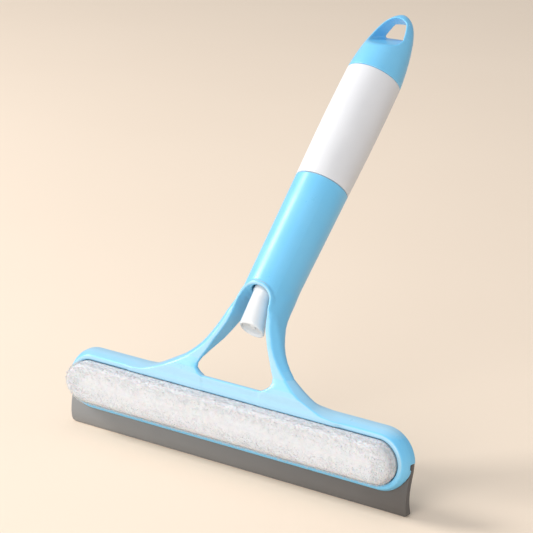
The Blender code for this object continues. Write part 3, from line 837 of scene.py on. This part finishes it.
def make_pad(mat, pile_mat):
    """Crowned pile on its backing, with loose fibres that fray past the rim."""
    _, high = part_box("microfibre_pad")
    base_y = high.y / MM + 0.1
    around = 760
    insets = [0.0, 0.12, 0.35, 0.7, 1.1, 1.6, 2.2, 2.9, 3.7, 4.6, 5.6, 6.7, 7.8, 9.0, 10.2, 11.4,
              12.5, 13.7]
    verts, rows = [], [range(around)]
    for i in range(around):
        x, z, _ = stadium_point(i / around, PAD_BACK_R, HALF_STRAIGHT)
        verts.append((x, base_y, z + HEAD_Z))
    for inset in insets:
        rows.append(range(len(verts), len(verts) + around))
        verts += [tuple(pad_surface(i / around, inset, base_y)[0]) for i in range(around)]
    faces = []
    for a, b in zip(rows, rows[1:]):
        for i in range(around):
            j = (i + 1) % around
            faces.append((a[i], b[i], b[j], a[j]))
    faces.append(tuple(rows[0]))
    faces.append(tuple(rows[-1])[::-1])
    pad = add_mesh("microfibre_face", verts, faces, "pad", mat)
    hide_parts("microfibre_pad")
    make_pile(base_y, pile_mat)


def make_pile(base_y, mat):
    """Short bent fibres over the pad, longer and looser along its lower edge and left end."""
    rng = np.random.default_rng(SEED)
    verts, faces = [], []
    for _ in range(FIBRES):
        turn = rng.random()
        inset = 13.7 * (1.0 - math.sqrt(rng.random()))
        if rng.random() < EDGE_SHARE:
            inset = rng.random() * EDGE_BAND
        root, normal = pad_surface(turn, inset, base_y)
        loose = inset < EDGE_BAND and (root.z < HEAD_Z - 9 or root.x < -HALF_STRAIGHT - 5)
        length = rng.uniform(0.7, 1.5) * (1.5 if loose else 1.0)
        lean = Vector(rng.normal(0, 0.55, 3).tolist())
        heading = (normal + lean).normalized()
        if inset < EDGE_BAND and not loose:
            heading = (heading + Vector((0, -0.8, 0))).normalized()
        bend = (heading + Vector(rng.normal(0, 0.5, 3).tolist()) + Vector((0, 0, -0.2)))
        width = rng.uniform(0.05, 0.09)
        side = heading.orthogonal().normalized() * width
        across = heading.cross(side).normalized() * width
        middle = root + heading * length * 0.55
        tip = middle + bend.normalized() * length * 0.45
        base = len(verts)
        start = root - heading * 0.25
        for centre, scale in ((start, 1.0), (middle, 0.8)):
            for k in range(3):
                angle = math.tau * k / 3
                spoke = side * math.cos(angle) + across * math.sin(angle)
                verts.append(tuple(centre + spoke * scale))
        verts.append(tuple(tip))
        for k in range(3):
            j = (k + 1) % 3
            faces.append((base + k, base + j, base + 3 + j, base + 3 + k))
            faces.append((base + 3 + k, base + 3 + j, base + 6))
        faces.append((base + 2, base + 1, base))
    pile = add_mesh("pad_pile", verts, faces, "pad", mat)


def make_bottle(mat):
    """Blow-moulded bottle with a threaded neck, open at its mouth.
    Both profiles are (radius, station), outside from the mouth up and inside on the way back."""
    outer = [(9.2, 123.5), (11.4, 123.5), (11.4, 141.4), (13.0, 142.0), (13.0, 143.2),
             (11.4, 143.8), (11.4, 147.0), (14.3, 157.0), (14.3, 174.6), (14.8, 175.2),
             (17.75, 175.2), (18.05, 190), (18.35, 205), (18.5, 222), (18.45, 238),
             (18.25, SEAM), (15.5, SEAM), (15.5, 262.0), (13.8, 264.0), (0, 264.0)]
    inner = [(0, 262.4), (13.0, 262.4), (13.9, 260.8), (13.9, 256.6), (16.5, 252.6),
             (16.85, 238), (16.9, 222), (16.6, 200), (16.1, 180), (12.7, 174.0), (12.7, 158.0),
             (9.2, 148.0)]
    profile = rounded(outer + inner, 0.35)
    obj = lathe("spray_bottle", profile, handle_matrix(), "bottle_body", mat, 160, 40.0)
    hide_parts("bottle")
    thread = bottle_thread(mat)


def bottle_thread(mat, per_turn=60):
    """Two turns of a single-start thread that fades out at both ends."""
    pitch, turns, start, root = 3.0, 2.0, 127.0, 11.4
    steps = round(per_turn * turns)
    verts, faces = [], []
    place = handle_matrix()
    for i in range(steps + 1):
        angle = math.tau * i / per_turn
        fade = min(1.0, 0.12 + min(i, steps - i) / (per_turn * 0.25))
        for out, up in ((-0.5, -0.9), (0.75, -0.3), (0.75, 0.3), (-0.5, 0.9)):
            radius = root + (out * fade if out > 0 else out)
            point = (radius * math.cos(angle), radius * math.sin(angle),
                     start + pitch * i / per_turn + up)
            verts.append(place @ Vector(point))
    for i in range(steps):
        for k in range(4):
            j = (k + 1) % 4
            faces.append((4 * i + k, 4 * i + j, 4 * i + 4 + j, 4 * i + 4 + k))
    faces.append((3, 2, 1, 0))
    faces.append(tuple(4 * steps + k for k in range(4)))
    return add_mesh("bottle_thread", verts, faces, "bottle_body", mat, 40.0)


def make_nozzle(mat):
    """Flared spout with a dished end, its jet plate, and the guide plate with the stem's hub."""
    spout = [(0, 3.4), (2.3, 3.4), (2.35, 1.6), (2.6, 1.3), (6.3, 1.0), (6.8, 0.7), (7.0, 0.2),
             (7.1, -0.4), (7.4, -0.7), (7.8, -0.6), (8.1, -0.3), (8.25, 0.3), (8.15, 1.6),
             (7.6, 6.0), (6.85, 12.0), (6.05, 18.0), (5.75, 21.5), (5.95, 22.1), (6.0, 22.9),
             (5.7, 23.5), (5.2, 27.0), (4.6, 29.0), (4.6, 30.6), (0, 30.6)]
    body = lathe("spray_spout", spout, spout_matrix(), "plunger", mat, 96, 40.0)
    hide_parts("nozzle_head")
    plate = rounded([(0, 100.2), (14.0, 100.2), (14.0, 103.6), (4.6, 103.6), (4.6, 109.5),
                     (2.3, 109.5), (2.3, 104.6), (0, 104.6)], 0.5)
    guide = lathe("spout_guide", plate, handle_matrix(), "plunger", mat, 96, 40.0)
    jet = rounded([(0.45, 1.5), (0.6, 0.7), (1.9, 0.7), (2.2, 1.0), (2.2, 3.0), (0.45, 3.0)], 0.15)
    disc = lathe("spray_jet", jet, spout_matrix(), "plunger", mat, 48, 40.0)
    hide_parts("nozzle_insert")


def make_spring(mat, turns=7, per_turn=28, ring=10):
    """Round-wire coil about the pump's stem, built at one fixed length; the real spring shortens
    when the plunger is pressed.
    """
    radius, pitch, start, wire, fixed_end = 3.4, 1.75, 131.2, 0.4, 143.7
    place = handle_matrix()
    verts, faces = [], []
    steps = turns * per_turn
    for i in range(steps + 1):
        angle = math.tau * i / per_turn
        out = Vector((math.cos(angle), math.sin(angle), 0.0))
        centre = out * radius + Vector((0, 0, start + pitch * i / per_turn))
        for k in range(ring):
            t = math.tau * k / ring
            spoke = out * math.cos(t) + Vector((0, 0, math.sin(t)))
            verts.append(place @ (centre + wire * spoke))
    for i in range(steps):
        for k in range(ring):
            j = (k + 1) % ring
            faces.append((ring * i + k, ring * i + j, ring * (i + 1) + j, ring * (i + 1) + k))
    faces.append(tuple(range(ring))[::-1])
    faces.append(tuple(ring * steps + k for k in range(ring)))
    obj = add_mesh("coil_spring", verts, faces, "frame", mat)
    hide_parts("return_spring")
    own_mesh(obj)


def dress_cad_nodes(finishes, moulding, steel):
    """Give the CAD nodes that stay visible their finishes and softened edges."""
    for node, mat in finishes.items():
        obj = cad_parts[node]
        obj.data.materials.clear()
        obj.data.materials.append(mat)
    for node in ["blade_clamp"] + [f"clamp_screw_{i}" for i in range(1, 6)]:
        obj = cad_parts[node]
        obj.data.materials.clear()
        obj.data.materials.append(moulding if node == "blade_clamp" else steel)
        soften = obj.modifiers.new("soft edges", "BEVEL")
        soften.width = 0.0005 if node == "blade_clamp" else 0.00012
        soften.segments = 3
        soften.limit_method = "ANGLE"
        soften.angle_limit = math.radians(40)


# ---------------------------------------------------------------- studio

def make_floor():
    """Large warm paper floor."""
    f = Finish("paper_sweep", (0.92, 0.77, 0.63), 0.85)
    f.shader.inputs["Specular IOR Level"].default_value = 0.1
    tone = f.noise(3.0, 2.0)
    f.colour(f.mix(f.spread(tone, 0.0, 1.0), (0.91, 0.765, 0.622), (0.925, 0.78, 0.636)))
    mesh = bpy.data.meshes.new("floor")
    size = 9.0
    corners = [(-size, -size, 0), (size, -size, 0), (size, size, 0), (-size, size, 0)]
    mesh.from_pydata(corners, [], [(0, 1, 2, 3)])
    floor = bpy.data.objects.new("floor", mesh)
    mesh.materials.append(f.mat)
    bpy.context.scene.collection.objects.link(floor)


def area_light(name, place, target, size, power, colour):
    data = bpy.data.lights.new(name, "AREA")
    data.shape = "DISK"
    data.size = size
    data.energy = power
    data.color = colour
    light = bpy.data.objects.new(name, data)
    light.location = place
    light.rotation_euler = (Vector(target) - Vector(place)).to_track_quat("-Z", "Y").to_euler()
    bpy.context.scene.collection.objects.link(light)


def make_lights():
    """A soft key from the left, a weaker fill from the front and a dim sky."""
    target = (0.0, 0.03, 0.10)
    area_light("key", (-1.9, -0.75, 1.45), target, 1.0, 43.5, (1.0, 0.985, 0.965))
    area_light("front_fill", (0.4, -2.3, 0.9), target, 1.6, 33.0, (1.0, 0.995, 0.985))
    world = bpy.data.worlds.new("soft_room")
    world.use_nodes = True
    back = world.node_tree.nodes["Background"]
    back.inputs["Color"].default_value = (0.95, 0.97, 1.0, 1.0)
    back.inputs["Strength"].default_value = 0.55
    bpy.context.scene.world = world


def make_camera():
    """Long lens from the right and above, tilted a little about its own axis."""
    data = bpy.data.cameras.new("camera")
    data.sensor_width = 36.0
    data.lens = LENS
    camera = bpy.data.objects.new("camera", data)
    right = Vector(CAMERA_RIGHT)
    up = Vector(CAMERA_UP)
    forward = up.cross(right).normalized()
    camera.matrix_world = Matrix((
        (right.x, up.x, -forward.x, CAMERA_PLACE[0] * MM),
        (right.y, up.y, -forward.y, CAMERA_PLACE[1] * MM),
        (right.z, up.z, -forward.z, CAMERA_PLACE[2] * MM),
        (0, 0, 0, 1)))
    bpy.context.scene.collection.objects.link(camera)
    bpy.context.scene.camera = camera
    bpy.context.scene.view_settings.view_transform = "Standard"


def build():
    # The last colour of each moulding is its painted highlight; the cap's is its plain blue, so it
    # gets none.
    blue = moulded_plastic("blue_moulding_look", BLUE, FLOW_AND_EDGE_BLUE, HIGHLIGHT_BLUE)
    cap_blue = moulded_plastic("blue_cap_look", BLUE, FLOW_AND_EDGE_BLUE, BLUE)
    white = moulded_plastic("white_plastic_look", (0.71, 0.73, 0.75), (0.78, 0.79, 0.8),
                            (0.72, 0.74, 0.76), 0.3)
    steel = brushed_metal("steel_look", (0.62, 0.61, 0.6), 0.3)
    seal = plain_polymer("seal_rubber_look", (0.03, 0.03, 0.032), 0.6)
    tube = plain_polymer("clear_tube_look", (0.82, 0.86, 0.88), 0.2, Transmission_Weight=0.6)
    foam = plain_polymer("pad_foam_look", (0.5, 0.58, 0.63), 0.9)
    pile = fibre_material("pile_look", (0.655, 0.67, 0.70), (0.62, 0.635, 0.665))
    nap = fibre_material("nap_look", (0.645, 0.66, 0.69), (0.595, 0.61, 0.64))
    make_frame(blue)
    make_cap(cap_blue)
    make_blade(blade_rubber())
    make_pad(nap, pile)
    make_bottle(bottle_plastic())
    make_nozzle(white)
    make_spring(steel)
    dress_cad_nodes({
        "hook_strip": hook_tape(), "pad_backing": foam, "pump_collar": white,
        "pump_retainer": white, "pump_housing": white, "pump_stem": white, "pump_piston": seal,
        "neck_gasket": seal, "check_ball": steel, "dip_tube": tube,
    }, blue, steel)
    make_floor()
    make_lights()
    make_camera()


build()
